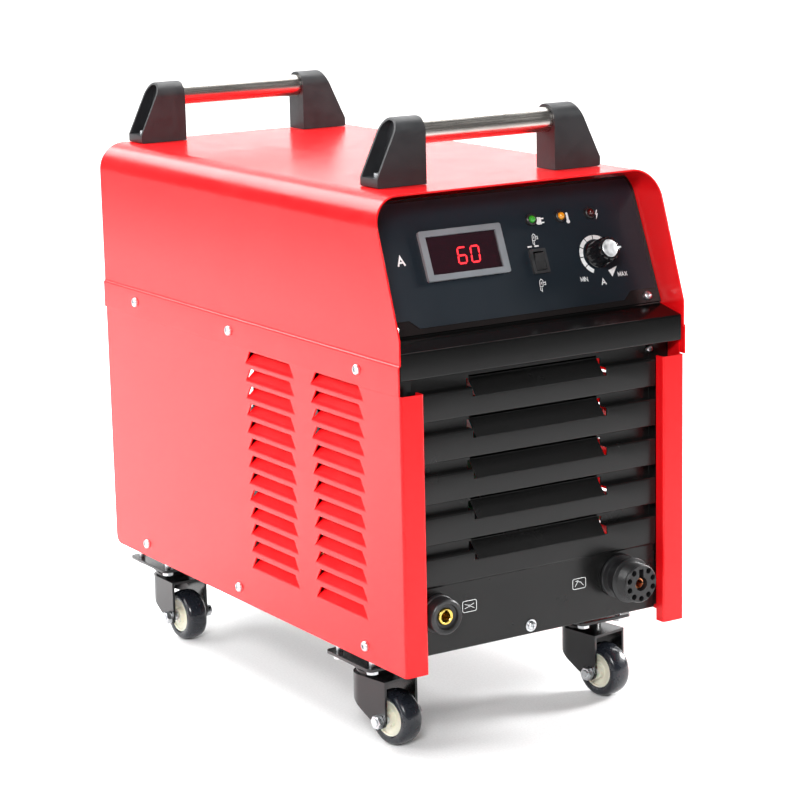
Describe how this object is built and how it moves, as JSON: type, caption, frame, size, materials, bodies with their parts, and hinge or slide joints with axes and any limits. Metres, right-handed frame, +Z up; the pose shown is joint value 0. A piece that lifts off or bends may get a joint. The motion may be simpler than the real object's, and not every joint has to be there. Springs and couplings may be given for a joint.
{
  "type": "plasma cutter power source",
  "caption": "Box-shaped plasma cutter power source in folded sheet metal, with hooded controls, louvred sides, twin lifting handles and swivel casters.",
  "frame": {"origin": "on the floor, under the middle of the machine's overall length and width", "axes": "+X to the operator's right, -Y towards the front face with the controls and sockets, +Z up"},
  "size_m": [0.31, 0.618, 0.5556],
  "materials": {
    "red_paint": "glossy powder coat",
    "black_paint": "satin powder coat",
    "black_plastic": "fine-textured moulded plastic",
    "grey_plastic": "satin moulded plastic",
    "display_window": "tinted display window",
    "lens_green": "glossy lens",
    "lens_amber": "glossy lens",
    "lens_red": "glossy lens",
    "stainless": "brushed along the tube",
    "zinc": "bright zinc plate",
    "brass": "bright turned brass",
    "copper": "bare copper",
    "tyre_rubber": "polished wheel tread",
    "ivory_plastic": "moulded nylon",
    "circuit_board": "solder-mask green",
    "aluminium": "satin"
  },
  "bodies": {
    "enclosure": {"top_cover": "red_paint", "left_side_panel": "red_paint", "right_side_panel": "red_paint", "base_tray": "black_paint", "front_panel": "black_paint", "visor": "black_paint", "control_panel": "black_paint", "control_board": "circuit_board", "meter_bezel": "grey_plastic", "meter_display": "display_window", "power_lamp": "lens_green", "thermal_lamp": "lens_amber", "fault_lamp": "lens_red", "rocker_bezel": "grey_plastic", "potentiometer": "aluminium", "work_socket_collar": "black_plastic", "work_socket_insert": "brass", "torch_connector": "black_plastic", "torch_contact": "copper", "rear_panel": "black_paint", "fan_guard": "zinc", "fan_frame": "black_plastic", "breaker_body": "grey_plastic", "mains_gland": "black_plastic", "air_regulator": "aluminium", "heatsink": "aluminium", "power_board": "circuit_board", "main_transformer": "copper", "solenoid_valve": "brass", "front_handle_bracket_right": "black_plastic", "front_handle_bracket_left": "black_plastic", "front_handle_grip": "stainless", "rear_handle_bracket_right": "black_plastic", "rear_handle_bracket_left": "black_plastic", "rear_handle_grip": "stainless", "front_left_caster_plate": "black_paint", "front_right_caster_plate": "black_paint", "rear_left_caster_plate": "black_paint", "rear_right_caster_plate": "black_paint"},
    "knob": {"current_knob": "black_plastic"},
    "rocker": {"rocker_paddle": "black_plastic"},
    "breaker_lever": {"breaker_toggle": "black_plastic"},
    "fan": {"fan_rotor": "black_plastic"},
    "regulator_cap": {"regulator_knob": "black_plastic"},
    "front_left_swivel": {"front_left_caster_fork": "black_paint", "front_left_axle": "zinc"},
    "front_left_wheel": {"front_left_hub": "ivory_plastic", "front_left_tyre": "tyre_rubber"},
    "front_right_swivel": {"front_right_caster_fork": "black_paint", "front_right_axle": "zinc"},
    "front_right_wheel": {"front_right_hub": "ivory_plastic", "front_right_tyre": "tyre_rubber"},
    "rear_left_swivel": {"rear_left_caster_fork": "black_paint", "rear_left_axle": "zinc"},
    "rear_left_wheel": {"rear_left_hub": "ivory_plastic", "rear_left_tyre": "tyre_rubber"},
    "rear_right_swivel": {"rear_right_caster_fork": "black_paint", "rear_right_axle": "zinc"},
    "rear_right_wheel": {"rear_right_hub": "ivory_plastic", "rear_right_tyre": "tyre_rubber"}
  },
  "joints": [
    {"name": "current_knob_turn", "type": "hinge", "parent": "enclosure", "child": "knob", "pos_m": [0.09, -0.23789, 0.4231], "axis": [0, -0.9225, 0.3859], "range_deg": [-50, 250]},
    {"name": "rocker_tilt", "type": "hinge", "parent": "enclosure", "child": "rocker", "pos_m": [0.0275, -0.2377, 0.42357], "axis": [1, 0, 0], "range_deg": [-20, 0]},
    {"name": "breaker_throw", "type": "hinge", "parent": "enclosure", "child": "breaker_lever", "pos_m": [-0.055, 0.2655, 0.375], "axis": [1, 0, 0], "range_deg": [-50, 0]},
    {"name": "fan_spin", "type": "hinge", "parent": "enclosure", "child": "fan", "pos_m": [0, 0.238, 0.19], "axis": [0, 1, 0], "continuous": true},
    {"name": "regulator_turn", "type": "hinge", "parent": "enclosure", "child": "regulator_cap", "pos_m": [0.06, 0.289, 0.43], "axis": [0, 0, 1], "range_deg": [-540, 540]},
    {"name": "front_left_swivel_turn", "type": "hinge", "parent": "enclosure", "child": "front_left_swivel", "pos_m": [-0.115, -0.18, 0.062], "axis": [0, 0, 1], "continuous": true},
    {"name": "front_left_wheel_roll", "type": "hinge", "parent": "front_left_swivel", "child": "front_left_wheel", "pos_m": [-0.11031, -0.20659, 0.025], "axis": [0.9848, 0.1736, 0], "continuous": true},
    {"name": "front_right_swivel_turn", "type": "hinge", "parent": "enclosure", "child": "front_right_swivel", "pos_m": [0.115, -0.18, 0.062], "axis": [0, 0, 1], "continuous": true},
    {"name": "front_right_wheel_roll", "type": "hinge", "parent": "front_right_swivel", "child": "front_right_wheel", "pos_m": [0.11969, -0.20659, 0.025], "axis": [0.9848, 0.1736, 0], "continuous": true},
    {"name": "rear_left_swivel_turn", "type": "hinge", "parent": "enclosure", "child": "rear_left_swivel", "pos_m": [-0.115, 0.209, 0.062], "axis": [0, 0, 1], "continuous": true},
    {"name": "rear_left_wheel_roll", "type": "hinge", "parent": "rear_left_swivel", "child": "rear_left_wheel", "pos_m": [-0.11453, 0.182, 0.025], "axis": [0.9998, 0.0175, 0], "continuous": true},
    {"name": "rear_right_swivel_turn", "type": "hinge", "parent": "enclosure", "child": "rear_right_swivel", "pos_m": [0.115, 0.209, 0.062], "axis": [0, 0, 1], "continuous": true},
    {"name": "rear_right_wheel_roll", "type": "hinge", "parent": "rear_right_swivel", "child": "rear_right_wheel", "pos_m": [0.11218, 0.18215, 0.025], "axis": [0.9945, -0.1045, 0], "continuous": true}
  ]
}
